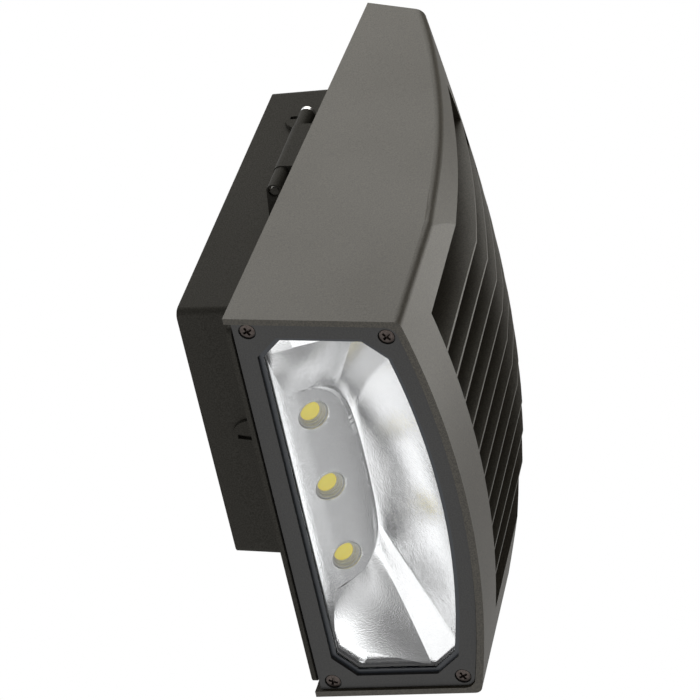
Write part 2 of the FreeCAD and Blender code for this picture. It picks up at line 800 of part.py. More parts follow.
def reflector():
    inside = reflector_volume(0.0)
    body = reflector_volume(SHEET)
    body = body.fuse(lens_prism(FLANGE_GROW, MOUTH_H, MOUTH_H + FLANGE_T))
    for x in lamp_places():
        start = tilt_point(x, 0.0, 0.0)
        body = body.fuse(cylinder(LED_HOLE_R + SHEET, COLLAR_L, start, tilt_axis()))
    body = body.cut(inside)
    holes = []
    for x in lamp_places():
        start = tilt_point(x, 0.0, -OVER)
        holes.append(cylinder(LED_HOLE_R, COLLAR_L + 2.0 * OVER, start, tilt_axis()))
    for x, y in mirrored([REFLECTOR_SCREW]):
        start = V(x, y, up(MOUTH_H - OVER))
        holes.append(cylinder(REFLECTOR_SCREW_R + SEAT_GAP, FLANGE_T + 2.0 * OVER, start, V(0, 0, 1)))
    return body.cut(holes)


def reflector_screws():
    screws = []
    for x, y in mirrored([REFLECTOR_SCREW]):
        base = up(MOUTH_H)
        head = cylinder(REFLECTOR_HEAD_R, REFLECTOR_HEAD_H, V(x, y, base - REFLECTOR_HEAD_H), V(0, 0, 1))
        shank = cylinder(REFLECTOR_SCREW_R, REFLECTOR_SCREW_L, V(x, y, base - REFLECTOR_SUNK), V(0, 0, 1))
        screws.append(head.fuse(shank))
    return group(screws)


# ---------------------------------------------------------------- light engine

def led_discs():
    discs = []
    for x in lamp_places():
        start = tilt_point(x, 0.0, DISC_FRONT)
        discs.append(cylinder(DISC_R, DISC_T, start, tilt_axis()))
    return group(discs)


def led_modules():
    half = MODULE_SIDE / 2.0
    modules = []
    for x in lamp_places():
        modules.append(tilt_slab(x - half, x + half, -half, half, disc_back(), module_back()))
    return group(modules)


def board_holes(radius):
    """Holes through the lamp board and the pad behind it."""
    start = module_back() - OVER
    length = BOARD_T + PAD_T + 2.0 * OVER
    return [cylinder(radius, length, tilt_point(x, 0.0, start), tilt_axis()) for x in board_screw_places()]


def led_board():
    half = BOARD_W / 2.0
    slab = tilt_slab(-half, half, -BOARD_D / 2.0, BOARD_D / 2.0, module_back(), board_back())
    return slab.cut(board_holes(BOARD_SCREW_R + SEAT_GAP))


def thermal_pad():
    half = BOARD_W / 2.0
    slab = tilt_slab(-half, half, -BOARD_D / 2.0, BOARD_D / 2.0, board_back(), shelf_deep())
    return slab.cut(board_holes(BOARD_SCREW_R + MOVE_GAP))


def board_screws():
    length = BOARD_HEAD_H + BOARD_T + PAD_T + BOARD_BITE
    screws = []
    for x in board_screw_places():
        start = tilt_point(x, 0.0, module_back() - BOARD_HEAD_H)
        head = cylinder(BOARD_HEAD_R, BOARD_HEAD_H, start, tilt_axis())
        screws.append(head.fuse(cylinder(BOARD_SCREW_R, length, start, tilt_axis())))
    return group(screws)


# ---------------------------------------------------------------- rear cover

def ear_prism(low, high, root_y):
    """Hinge leaf: a round end on the pin and a straight web to the plate."""
    left = HINGE_X - EAR_R
    right = HINGE_X + EAR_R
    z = low
    round_end = Part.Arc(V(left, HINGE_Y, z), V(HINGE_X, HINGE_Y + EAR_R, z), V(right, HINGE_Y, z)).toShape()
    sides = Part.makePolygon([V(right, HINGE_Y, z), V(right, root_y, z), V(left, root_y, z), V(left, HINGE_Y, z)])
    return Part.Face(Part.Wire([round_end] + sides.Edges)).extrude(V(0, 0, high - low))


def driver_posts():
    reach = DRIVER_W / 2.0 + DRIVER_EAR / 2.0
    places = []
    for side in (-1.0, 1.0):
        for rise in (-DRIVER_H / 4.0, DRIVER_H / 4.0):
            places.append(V(side * reach, COVER_BACK - COVER_T, up(DRIVER_MID + rise)))
    return places


def rear_cover():
    ahead = V(0, -1, 0)
    plate = trapezoid(COVER_HALF, 0.0, COVER_TOP, COVER_R, COVER_BACK).extrude(V(0, -COVER_T, 0))
    ear = ear_prism(EAR_LOW + MOVE_GAP / 2.0, EAR_TOP - MOVE_GAP / 2.0, COVER_BACK - COVER_T / 2.0)
    lug = cuboid(LUG_X, LUG_X + LUG_T, COVER_BACK - COVER_T / 2.0, LUG_BACK,
                 LUG_MID_Z - LUG_HALF_H, LUG_MID_Z + LUG_HALF_H)
    posts = [cylinder(DRIVER_POST_R, DRIVER_POST_L, place, ahead) for place in driver_posts()]
    body = join([plate, ear, lug] + posts)
    through = COVER_T + 2.0 * OVER
    start = V(HINGE_X, HINGE_Y, EAR_LOW - OVER)
    holes = [cylinder(PIN_R + RUN_GAP, EAR_TOP - EAR_LOW + 2.0 * OVER, start, V(0, 0, 1))]
    start = V(LUG_X - OVER, CLOSE_Y, LUG_MID_Z)
    holes.append(cylinder(CLOSE_R + RUN_GAP, LUG_T + 2.0 * OVER, start, V(1, 0, 0)))
    for place in cover_screw_places():
        holes.append(cylinder(COVER_SHANK_R + SEAT_GAP, through, place + V(0, OVER, 0), ahead))
    for place in driver_posts():
        holes.append(cylinder(DRIVER_SCREW_R + SEAT_GAP, DRIVER_POST_L + OVER, place, ahead))
    holes.append(cylinder(BUSH_R + SEAT_GAP, through, V(0, COVER_BACK + OVER, BUSH_Z), ahead))
    return body.cut(holes)


def rear_gasket():
    return seal_ring(0.0, SEAL_T)


def cover_screws():
    screws = []
    for place in cover_screw_places():
        head = cylinder(COVER_HEAD_R, COVER_HEAD_H, place, V(0, 1, 0))
        shank = cylinder(COVER_SHANK_R, COVER_SCREW_L, place, V(0, -1, 0))
        screws.append(head.fuse(shank))
    return group(screws)


def driver():
    half = DRIVER_W / 2.0
    y0 = COVER_BACK - COVER_T - DRIVER_POST_L
    low = up(DRIVER_MID - DRIVER_H / 2.0)
    high = up(DRIVER_MID + DRIVER_H / 2.0)
    case = cuboid(-half, half, y0 - DRIVER_D, y0, low, high)
    long_edges = [e for e in case.Edges if e.BoundBox.XLength > half and e.CenterOfMass.y < y0 - OVER]
    case = case.makeFillet(DRIVER_R, long_edges)
    ears = cuboid(-half - DRIVER_EAR, half + DRIVER_EAR, y0 - DRIVER_EAR_T, y0, low, high)
    body = case.fuse(ears)
    holes = []
    for place in driver_posts():
        start = V(place.x, y0 + OVER, place.z)
        holes.append(cylinder(DRIVER_SCREW_R + SEAT_GAP, DRIVER_EAR_T + 2.0 * OVER, start, V(0, -1, 0)))
    return body.cut(holes)


def driver_screws():
    length = DRIVER_EAR_T + DRIVER_POST_L - MOVE_GAP
    screws = []
    for place in driver_posts():
        y0 = COVER_BACK - COVER_T - DRIVER_POST_L - DRIVER_EAR_T
        start = V(place.x, y0, place.z)
        head = cylinder(DRIVER_HEAD_R, DRIVER_HEAD_H, start, V(0, -1, 0))
        screws.append(head.fuse(cylinder(DRIVER_SCREW_R, length, start, V(0, 1, 0))))
    return group(screws)


def wire_bushing():
    ahead = V(0, -1, 0)
    back = cylinder(BUSH_FLANGE_R, BUSH_FLANGE_T, V(0, COVER_BACK + BUSH_FLANGE_T, BUSH_Z), ahead)
    waist = cylinder(BUSH_R, COVER_T, V(0, COVER_BACK, BUSH_Z), ahead)
    front = cylinder(BUSH_FLANGE_R, BUSH_FLANGE_T, V(0, COVER_BACK - COVER_T, BUSH_Z), ahead)
    body = join([back, waist, front])
    start = V(0, COVER_BACK + BUSH_FLANGE_T + OVER, BUSH_Z)
    return body.cut(cylinder(BUSH_BORE_R, COVER_T + 2.0 * (BUSH_FLANGE_T + OVER), start, ahead))


# ---------------------------------------------------------------- closure screw

def closure_screw():
    outer = LUG_X + LUG_T + CLOSE_TRAVEL + MOVE_GAP
    body = cylinder(CLOSE_R, outer - CLOSE_TIP, V(CLOSE_TIP, CLOSE_Y, LUG_MID_Z), V(1, 0, 0))
    head = cylinder(CLOSE_HEAD_R, CLOSE_HEAD_H, V(outer, CLOSE_Y, LUG_MID_Z), V(1, 0, 0))
    end = outer + CLOSE_HEAD_H
    reach = CLOSE_HEAD_R + OVER
    slot = cuboid(end - CLOSE_SLOT_D, end + OVER, CLOSE_Y - reach, CLOSE_Y + reach,
                  LUG_MID_Z - CLOSE_SLOT_W / 2.0, LUG_MID_Z + CLOSE_SLOT_W / 2.0)
    return body.fuse(head).cut(slot)


def closure_ring():
    start = V(LUG_X - MOVE_GAP - RING_T, CLOSE_Y, LUG_MID_Z)
    ring = cylinder(RING_R, RING_T, start, V(1, 0, 0))
    return ring.cut(cylinder(CLOSE_R + SEAT_GAP, RING_T + 2.0 * OVER, start - V(OVER, 0, 0), V(1, 0, 0)))


# ---------------------------------------------------------------- wall box

def box_outline(y, inset):
    half_w = BOX_HALF_W - BOX_DRAFT * y - inset
    half_h = BOX_HALF_H - BOX_DRAFT * y - inset
    points = [V(-half_w, y, -half_h), V(half_w, y, -half_h), V(half_w, y, half_h), V(-half_w, y, half_h)]
    return rounded_outline(points, max(BOX_R - inset, 1.0))


def box_block(y_back, y_front, inset):
    return Part.makeLoft([box_outline(y_back, inset), box_outline(y_front, inset)], True, True)


def arm(low, high):
    """Hinge arm from the box's side to a round end on the pin."""
    z = low
    centre = V(HINGE_X, HINGE_Y, z)
    points = [V(ARM_ROOT_X, ARM_BACK, z), V(HINGE_X, HINGE_Y + KNUCKLE_R, z)]
    points += [V(HINGE_X, HINGE_Y - KNUCKLE_R, z), V(ARM_ROOT_X, ARM_FRONT, z)]
    web = Part.Face(Part.makePolygon(points + points[:1])).extrude(V(0, 0, high - low))
    return web.fuse(cylinder(KNUCKLE_R, high - low, centre, V(0, 0, 1)))


def entries():
    """Start point on the outside and inward axis of the three conduit entries."""
    side = BOX_HALF_W - BOX_DRAFT * ENTRY_Y
    low = BOX_HALF_H - BOX_DRAFT * ENTRY_Y
    left = (V(-side, ENTRY_Y, ENTRY_Z), V(1, 0, 0))
    right = (V(side, ENTRY_Y, ENTRY_Z), V(-1, 0, 0))
    return [left, right, (V(0, ENTRY_Y, -low), V(0, 0, 1))]


def wall_holes():
    reach = BOX_FLOOR + 2.0 * OVER
    start_y = OVER
    x, z = CORNER_HOLE
    holes = []
    for side in (-1.0, 1.0):
        for rise in (-1.0, 1.0):
            holes.append(cylinder(CORNER_HOLE_R, reach, V(side * x, start_y, rise * z), V(0, -1, 0)))
    straight = (SLOT_L - SLOT_W) / 2.0
    for side in (-1.0, 1.0):
        middle = side * SLOT_SPACING / 2.0
        bar = cuboid(middle - straight, middle + straight, start_y - reach, start_y, -SLOT_W / 2.0, SLOT_W / 2.0)
        ends = [cylinder(SLOT_W / 2.0, reach, V(middle + step, start_y, 0), V(0, -1, 0))
                for step in (-straight, straight)]
        holes.append(join([bar] + ends))
    holes.append(cylinder(SUPPLY_R, reach, V(0, start_y, 0), V(0, -1, 0)))
    return holes


def wall_seal(grow):
    outer = box_block(0.0, -WALL_SEAL_T, WALL_SEAL_IN - grow)
    inner = box_block(OVER, -WALL_SEAL_T - OVER, WALL_SEAL_IN + WALL_SEAL_W + grow)
    return outer.cut(inner)


def back_box():
    body = box_block(0.0, -BOX_DEPTH, 0.0)
    hollow = box_block(-BOX_FLOOR, -BOX_DEPTH - OVER, BOX_WALL)
    keep = []
    for start, axis in entries():
        keep.append(cylinder(ENTRY_BOSS_R, ENTRY_L, start, axis))
    x, z = GROUND_AT
    keep.append(cylinder(GROUND_BOSS_R, GROUND_BOSS_H, V(x, 0, z), V(0, -1, 0)))
    keep.append(cylinder(CLOSE_BOSS_R, CLOSE_BOSS_X - CLOSE_BOSS_IN, V(CLOSE_BOSS_IN, CLOSE_Y, LUG_MID_Z), V(1, 0, 0)))
    body = body.cut(hollow.cut(keep))
    outer_boss = cylinder(CLOSE_BOSS_R, CLOSE_BOSS_X - BOX_HALF_W, V(BOX_HALF_W, CLOSE_Y, LUG_MID_Z), V(1, 0, 0))
    body = join([body, outer_boss, arm(KNUCKLE_LOW, EAR_LOW), arm(EAR_TOP, KNUCKLE_TOP)])
    body = body.cut(hollow.cut(keep))
    return body.cut(box_holes()).cut(wall_seal(SEAT_GAP))


def box_holes():
    """Wall mounts, conduit entries, and the bores of the hinge, closure and ground screw."""
    rise = V(0, 0, 1)
    holes = wall_holes()
    for start, axis in entries():
        holes.append(cylinder(ENTRY_RECESS_R, ENTRY_RECESS + OVER, start - axis * OVER, axis))
        holes.append(cylinder(ENTRY_R, ENTRY_L + 2.0 * OVER, start - axis * OVER, axis))
    x, z = GROUND_AT
    start = V(x, -GROUND_BOSS_H - OVER, z)
    holes.append(cylinder(GROUND_R + SEAT_GAP, GROUND_L + MOVE_GAP + OVER, start, V(0, 1, 0)))
    start = V(HINGE_X, HINGE_Y, KNUCKLE_LOW - OVER)
    holes.append(cylinder(PIN_R + SEAT_GAP, KNUCKLE_TOP - KNUCKLE_LOW + 2.0 * OVER, start, rise))
    holes.append(cylinder(CLIP_POCKET_R + SEAT_GAP, CLIP_POCKET + OVER, start, rise))
    start = V(CLOSE_BOSS_IN - OVER, CLOSE_Y, LUG_MID_Z)
    length = CLOSE_BOSS_X - CLOSE_BOSS_IN + 2.0 * OVER
    holes.append(cylinder(CLOSE_R + MOVE_GAP, length, start, V(1, 0, 0)))
    return holes


def box_gasket():
    y0 = -BOX_DEPTH
    y1 = y0 - BOX_SEAL_T
    outer = box_block(y0, y1, BOX_SEAL_IN)
    return outer.cut(box_block(y0 + OVER, y1 - OVER, BOX_SEAL_IN + BOX_SEAL_W))


def wall_gasket():
    return wall_seal(0.0)


def plug_slot(top, axis, turn):
    """Straight slot in a plug's face, turned a little from front to back."""
    along = FreeCAD.Rotation(axis, turn).multVec(V(0, 1, 0))
    half_l = along * (PLUG_SLOT_L / 2.0)
    half_w = along.cross(axis) * (PLUG_SLOT_W / 2.0)
    start = top - axis * OVER
    ring = [start - half_w - half_l, start + half_w - half_l, start + half_w + half_l, start - half_w + half_l]
    return six_faced(ring, [p + axis * (PLUG_SLOT_D + OVER) for p in ring])


def conduit_plugs():
    plugs = []
    for (start, axis), turn in zip(entries(), PLUG_TURNS):
        top = start - axis * PLUG_RISE
        rim = cylinder(PLUG_RIM, ENTRY_RECESS + PLUG_RISE, top, axis)
        shank = cylinder(ENTRY_R - SEAT_GAP, PLUG_RISE + ENTRY_L - PLUG_END, top, axis)
        plugs.append(rim.fuse(shank).cut(plug_slot(top, axis, turn)))
    return group(plugs)


def ground_screw():
    x, z = GROUND_AT
    face = -GROUND_BOSS_H - GROUND_HEAD_H
    reach = GROUND_HEAD_R + OVER
    head = cylinder(GROUND_HEAD_R, GROUND_HEAD_H, V(x, -GROUND_BOSS_H, z), V(0, -1, 0))
    shank = cylinder(GROUND_R, GROUND_L, V(x, -GROUND_BOSS_H, z), V(0, 1, 0))
    slot = cuboid(x - reach, x + reach, face - OVER, face + GROUND_SLOT_D,
                  z - GROUND_SLOT_W / 2.0, z + GROUND_SLOT_W / 2.0)
    return head.fuse(shank).cut(slot)


def hinge_pin():
    low = KNUCKLE_LOW + PIN_SHORT
    pin = cylinder(PIN_R, KNUCKLE_TOP - low, V(HINGE_X, HINGE_Y, low), V(0, 0, 1))
    head = cylinder(PIN_HEAD_R, PIN_HEAD_H, V(HINGE_X, HINGE_Y, KNUCKLE_TOP), V(0, 0, 1))
    return pin.fuse(head)


def pin_clip():
    low = KNUCKLE_LOW + CLIP_POCKET - CLIP_T
    clip = cylinder(CLIP_POCKET_R, CLIP_T, V(HINGE_X, HINGE_Y, low), V(0, 0, 1))
    bore = cylinder(PIN_R + SEAT_GAP, CLIP_T + 2.0 * OVER, V(HINGE_X, HINGE_Y, low - OVER), V(0, 0, 1))
    return clip.cut(bore)


PIECES = (
    back_box, wall_gasket, box_gasket, conduit_plugs, ground_screw, hinge_pin, pin_clip,
    housing, rear_cover, rear_gasket, cover_screws, lens_door, door_gasket, door_screws,
    lens_glass, glass_gasket, reflector, reflector_screws, led_discs, led_modules, led_board,
    thermal_pad, board_screws, driver, driver_screws, wire_bushing, closure_screw, closure_ring,
)

os.makedirs("parts", exist_ok=True)
for piece in PIECES:
    shape = piece()
    name = piece.__name__
    shape.exportStep("parts/" + name + ".step")
    box = shape.BoundBox
    print(name, len(shape.Solids), shape.isValid(), round(shape.Volume),
          [round(v, 1) for v in (box.XMin, box.XMax, box.YMin, box.YMax, box.ZMin, box.ZMax)])
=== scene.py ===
# %% [markdown]
# A wall pack light: a finned die casting with a glazed light opening underneath, hinged to a
# shallow box on the wall. The engineering model is already packed, so the scene loads it first
# and everything else is placed in its coordinates: metres, wall at y = 0, lamp facing -Y.

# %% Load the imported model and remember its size
import json
import math
import bmesh
import bpy
import numpy as np
from mathutils import Matrix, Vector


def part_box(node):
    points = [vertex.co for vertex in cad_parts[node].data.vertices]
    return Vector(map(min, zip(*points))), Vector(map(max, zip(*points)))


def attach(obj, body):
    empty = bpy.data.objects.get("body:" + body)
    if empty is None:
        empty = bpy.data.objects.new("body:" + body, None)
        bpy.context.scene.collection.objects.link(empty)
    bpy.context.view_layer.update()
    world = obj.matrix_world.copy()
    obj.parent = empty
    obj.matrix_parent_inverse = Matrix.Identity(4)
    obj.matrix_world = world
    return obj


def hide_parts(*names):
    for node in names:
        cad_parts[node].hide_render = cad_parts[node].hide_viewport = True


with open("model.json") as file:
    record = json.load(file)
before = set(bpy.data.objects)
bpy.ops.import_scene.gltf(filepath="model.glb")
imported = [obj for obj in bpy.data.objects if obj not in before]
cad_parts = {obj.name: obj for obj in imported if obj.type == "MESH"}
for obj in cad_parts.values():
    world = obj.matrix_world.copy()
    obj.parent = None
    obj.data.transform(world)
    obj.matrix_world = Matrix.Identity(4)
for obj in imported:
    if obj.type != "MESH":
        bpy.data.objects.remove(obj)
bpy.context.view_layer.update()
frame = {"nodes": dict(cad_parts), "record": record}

nodes = frame["nodes"]

# %% [markdown]
# Lamps like this are drawn in millimetres, and the heights of the lamp head are easiest to
# read from the plane of the lens door. These few helpers hold that habit in one place, so
# that every later number can be compared with the casting itself.

# %% Units and the door plane
MM = 0.001
DOOR_DROP = 162.9


def up(height):
    """Z in mm of a height above the door plane: the height less the door's drop."""
    return height - DOOR_DROP


def middle(node):
    """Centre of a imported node's box, in mm: half the sum of its two corners."""
    low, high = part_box(node)
    return (np.array(low) + np.array(high)) / 2.0 / MM


print("door plane at z", up(0.0), "mm; housing centre", np.round(middle("housing"), 1))

# %% [markdown]
# Every new surface here is a grid of points worked out by a formula. The faces of a grid
# follow one rule: each cell joins four neighbours. Writing that rule once, with whole
# arrays, is faster and clearer than adding faces one at a time.

# %% Grids of points become faces
def grid_faces(rows, cols, wrap_rows=False, wrap_cols=False):
    """Four corners of each cell: (i, j), (i, j+1), (i+1, j+1), (i+1, j)."""
    i = np.arange(rows if wrap_rows else rows - 1)
    j = np.arange(cols if wrap_cols else cols - 1)
    a, b = np.meshgrid(i, j, indexing="ij")
    a, b = a.ravel(), b.ravel()
    a2, b2 = (a + 1) % rows, (b + 1) % cols
    return np.stack([a * cols + b, a * cols + b2, a2 * cols + b2, a2 * cols + b], 1)


print("a grid of 3 by 4 points has", len(grid_faces(3, 4)), "faces")

# %% [markdown]
# Grids that meet are welded into one skin, or the seam would show as a line and leave the
# shape open. After the weld the faces are turned outwards, and only real bends stay crisp.

# %% Faces become finished pieces
WELD = 0.01
SLIVER = 0.002


def finish_mesh(mesh, sharp):
    """Weld seams, turn faces outwards and keep edges crisp above the given angle."""
    work = bmesh.new()
    work.from_mesh(mesh)
    bmesh.ops.remove_doubles(work, verts=work.verts, dist=WELD * MM)
    bmesh.ops.dissolve_degenerate(work, edges=work.edges, dist=SLIVER * MM)
    bmesh.ops.recalc_face_normals(work, faces=work.faces)
    work.to_mesh(mesh)
    work.free()
    mesh.polygons.foreach_set("use_smooth", np.ones(len(mesh.polygons), bool))
    mesh.set_sharp_from_angle(angle=math.radians(sharp))


def piece(name, patches, body, material, sharp):
    """One object from grids of points in mm; each patch is (points, wrap_rows, wrap_cols)."""
    points, faces, start = [], [], 0
    for patch, wrap_rows, wrap_cols in patches:
        rows, cols = patch.shape[:2]
        points.append(patch.reshape(-1, 3))
        faces.append(grid_faces(rows, cols, wrap_rows, wrap_cols) + start)
        start += rows * cols
    mesh = bpy.data.meshes.new(name)
    mesh.from_pydata((np.concatenate(points) * MM).tolist(), [], np.concatenate(faces).tolist())
    finish_mesh(mesh, sharp)
    mesh.materials.append(material)
    thing = bpy.data.objects.new(name, mesh)
    bpy.context.scene.collection.objects.link(thing)
    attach(thing, body)
    print(name, len(mesh.polygons), "faces")
    return thing


# %% [markdown]
# Powder coat is a baked plastic skin. Close up it is finely pebbled, with a faint mix of
# lighter and darker grains, and its gloss is soft. A fine noise for the grain, a second
# one for the pebbles and a slow one for uneven film give all three. Object coordinates keep
# the grain the same size on every piece.

# %% A small kit for node materials
NOISE_LOW, NOISE_HIGH = 0.3, 0.7


def new_material(name):
    """A material with its node tree and its shader."""
    made = bpy.data.materials.new(name)
    made.use_nodes = True
    tree = made.node_tree
    return made, tree, tree.nodes["Principled BSDF"]


def noise(tree, scale, detail=2.0):
    """Noise on object coordinates; scale counts grains per metre."""
    where = tree.nodes.new("ShaderNodeTexCoord")
    grain = tree.nodes.new("ShaderNodeTexNoise")
    grain.inputs["Scale"].default_value = scale
    grain.inputs["Detail"].default_value = detail
    tree.links.new(where.outputs["Object"], grain.inputs["Vector"])
    return grain.outputs["Fac"]


def ramp(tree, source, stops):
    """A dark and a light colour, each at its place along 0..1, with a blend between."""
    strip = tree.nodes.new("ShaderNodeValToRGB")
    for element, (place, colour) in zip(strip.color_ramp.elements, stops):
        element.position = place
        element.color = (*colour, 1.0)
    tree.links.new(source, strip.inputs["Fac"])
    return strip.outputs["Color"]


def spread(tree, source, low, high):
    """Stretch the middle part of a noise to the range from low to high."""
    scale = tree.nodes.new("ShaderNodeMapRange")
    scale.inputs["From Min"].default_value = NOISE_LOW
    scale.inputs["From Max"].default_value = NOISE_HIGH
    scale.inputs["To Min"].default_value = low
    scale.inputs["To Max"].default_value = high
    tree.links.new(source, scale.inputs["Value"])
    return scale.outputs["Result"]


def bump(tree, source, height):
    """Relief of the given height in metres."""
    relief = tree.nodes.new("ShaderNodeBump")
    relief.inputs["Distance"].default_value = height
    tree.links.new(source, relief.inputs["Height"])
    return relief


print("noise is read from", NOISE_LOW, "to", NOISE_HIGH)

# %% [markdown]
# Coats, seals and metals differ in their numbers, not in their build: two tones, a count of
# grains, a range of gloss and a height of relief. So one function makes them all, and each
# finish is one row of numbers.

# %% One recipe for every grained finish
GRAIN_STOPS = (0.35, 0.65)
GRAIN_DETAIL = 3.0
FILM_SCALE = 14.0
PEBBLE_SHARE = 0.6


def grained(name, dark, light, scale, rough, relief, metallic=0.0, pebble=None):
    """Two-tone grain, uneven gloss and pebbled relief; pebbles default to a share of scale."""
    made, tree, shader = new_material(name)
    grain = noise(tree, scale, GRAIN_DETAIL)
    tones = ramp(tree, grain, list(zip(GRAIN_STOPS, (dark, light))))
    tree.links.new(tones, shader.inputs["Base Color"])
    gloss = spread(tree, noise(tree, FILM_SCALE), *rough)
    tree.links.new(gloss, shader.inputs["Roughness"])
    pebbles = bump(tree, noise(tree, pebble or scale * PEBBLE_SHARE), relief)
    tree.links.new(pebbles.outputs["Normal"], shader.inputs["Normal"])
    shader.inputs["Metallic"].default_value = metallic
    return made


def shader_of(material):
    """The shader's sockets, for a value that is the same all over."""
    return material.node_tree.nodes["Principled BSDF"].inputs


# %% Coats of the castings
COAT_GRAIN, COAT_PEBBLE = 1500.0, 1300.0
coat = grained("bronze_coat", (0.034, 0.029, 0.020), (0.084, 0.074, 0.054), COAT_GRAIN,
               (0.44, 0.48), 0.00005, pebble=COAT_PEBBLE)
# Painted shade: the smooth coat takes darker tones than the head's coat, as shade on the door and
# the other faces turned downwards.
smooth_coat_painted_shade = grained("bronze_smooth", (0.025, 0.0245, 0.0235), (0.043, 0.042, 0.040),
                      COAT_GRAIN, (0.44, 0.48), 0.00003)
# Painted shade: the wall box, rear cover and plugs take darker tones than the head's coat, as the
# shade under the lamp head's overhang.
box_coat_painted_shade = grained("bronze_box_painted_shade", (0.036, 0.034, 0.029), (0.060, 0.057, 0.050), COAT_GRAIN,
                   (0.46, 0.50), 0.00003)
# The box's mirror part is turned almost off, which brought its tones nearer to the
# photograph's. It is no measured gloss.
shader_of(box_coat_painted_shade)["Specular IOR Level"].default_value = 0.03

# %% Seals, screws and other metal
seal_black = grained("seal_black", (0.012, 0.012, 0.013), (0.03, 0.03, 0.03), 900.0,
                     (0.6, 0.75), 0.00003)
seal_slate = grained("seal_slate", (0.030, 0.036, 0.045), (0.040, 0.047, 0.058), 2200.0,
                     (0.30, 0.35), 0.00001)
bright_steel = grained("bright_steel", (0.70, 0.70, 0.71), (0.85, 0.85, 0.86), 500.0,
                       (0.12, 0.22), 0.00001, metallic=1.0)
bronze_screw = grained("bronze_screw", (0.050, 0.036, 0.030), (0.100, 0.078, 0.068), 1500.0,
                       (0.30, 0.38), 0.00002, metallic=0.5)
zinc = grained("zinc_steel", (0.45, 0.44, 0.40), (0.66, 0.65, 0.60), 900.0,
               (0.25, 0.4), 0.00001, metallic=1.0)
ground_green = grained("ground_green", (0.02, 0.16, 0.05), (0.05, 0.30, 0.10), 900.0,
                       (0.3, 0.4), 0.00001, metallic=0.3)

# %% Lamps and the pieces behind them
PAINTED_GLOW_COLOUR, PAINTED_GLOW_LEVEL = (0.90, 0.74, 0.06, 1.0), 0.32
phosphor = grained("phosphor", (0.84, 0.70, 0.07), (0.93, 0.80, 0.11), 3000.0,
                   (0.30, 0.42), 0.00003)
# The discs came out darker than in the photograph, so they have a weak glow. The real lamp
# is off, so this glow stands for no real light.
# Painted light: a faint glow brightens the discs, though no lamp is lit.
shader_of(phosphor)["Emission Color"].default_value = PAINTED_GLOW_COLOUR
shader_of(phosphor)["Emission Strength"].default_value = PAINTED_GLOW_LEVEL
ceramic = grained("module_white", (0.66, 0.66, 0.62), (0.80, 0.80, 0.76), 1500.0,
                  (0.15, 0.25), 0.00002)
board_white = grained("board_white", (0.55, 0.56, 0.55), (0.66, 0.67, 0.66), 1200.0,
                      (0.35, 0.5), 0.00001)
pad_grey = grained("pad_grey", (0.16, 0.17, 0.19), (0.25, 0.26, 0.28), 1500.0,
                   (0.7, 0.8), 0.00002)
driver_case = grained("driver_case", (0.48, 0.49, 0.50), (0.62, 0.63, 0.64), 700.0,
                      (0.3, 0.45), 0.00001, metallic=1.0)
bush_black = grained("bush_black", (0.015, 0.015, 0.015), (0.03, 0.03, 0.03), 900.0,
                     (0.5, 0.65), 0.00003)
print("finishes", len(bpy.data.materials))

# %% [markdown]
# The reflector is bright anodised sheet. It mirrors the room, but its skin is slightly
# uneven, so sharp reflections break into soft mottled patches. A mirror with a little
# roughness and two sizes of very shallow ripple does the same.

# %% Bright sheet
TONE_GRAIN, GLOSS_GRAIN, SHEET_GLOSS = 1600.0, 60.0, (0.09, 0.13)
WIDE_RIPPLE, WIDE_HEIGHT = 160.0, 0.00010
FINE_RIPPLE, FINE_HEIGHT = 1500.0, 0.00009


def bright_sheet():
    """A mirror whose two ripples add up: the fine one tilts the normal of the wide one."""
    made, tree, shader = new_material("reflector_bright")
    shader.inputs["Metallic"].default_value = 1.0
    tone = noise(tree, TONE_GRAIN)
    colours = [(NOISE_LOW, (0.88, 0.885, 0.89)), (NOISE_HIGH, (0.97, 0.972, 0.975))]
    tree.links.new(ramp(tree, tone, colours), shader.inputs["Base Color"])
    gloss = spread(tree, noise(tree, GLOSS_GRAIN), *SHEET_GLOSS)
    tree.links.new(gloss, shader.inputs["Roughness"])
    wide = bump(tree, noise(tree, WIDE_RIPPLE), WIDE_HEIGHT)
    tree.links.new(wide.outputs["Normal"], shader.inputs["Normal"])
    fine = tree.nodes.new("ShaderNodeBump")
    fine.inputs["Distance"].default_value = FINE_HEIGHT
    tree.links.new(noise(tree, FINE_RIPPLE, 1.0), fine.inputs["Height"])
    tree.links.new(fine.outputs["Normal"], wide.inputs["Normal"])
    return made


reflector_bright = bright_sheet()
print("ripples per metre", WIDE_RIPPLE, FINE_RIPPLE)

# %% [markdown]
# The pane is clear glass, almost without colour. It is a solid that bends light, so the
# shader only needs its index and a trace of unevenness.

# %% Clear glass
GLASS_INDEX = 1.48
GLASS_GRAIN, GLASS_GLOSS = 8.0, (0.0, 0.01)


def clear_glass():
    """Clear transmission with a roughness that wanders a little above nothing."""
    made, tree, shader = new_material("clear_glass")
    shader.inputs["Base Color"].default_value = (0.99, 0.993, 0.995, 1.0)
    shader.inputs["Transmission Weight"].default_value = 1.0
    shader.inputs["IOR"].default_value = GLASS_INDEX
    gloss = spread(tree, noise(tree, GLASS_GRAIN, 1.0), *GLASS_GLOSS)
    tree.links.new(gloss, shader.inputs["Roughness"])
    return made


glass = clear_glass()
print("glass index", GLASS_INDEX)
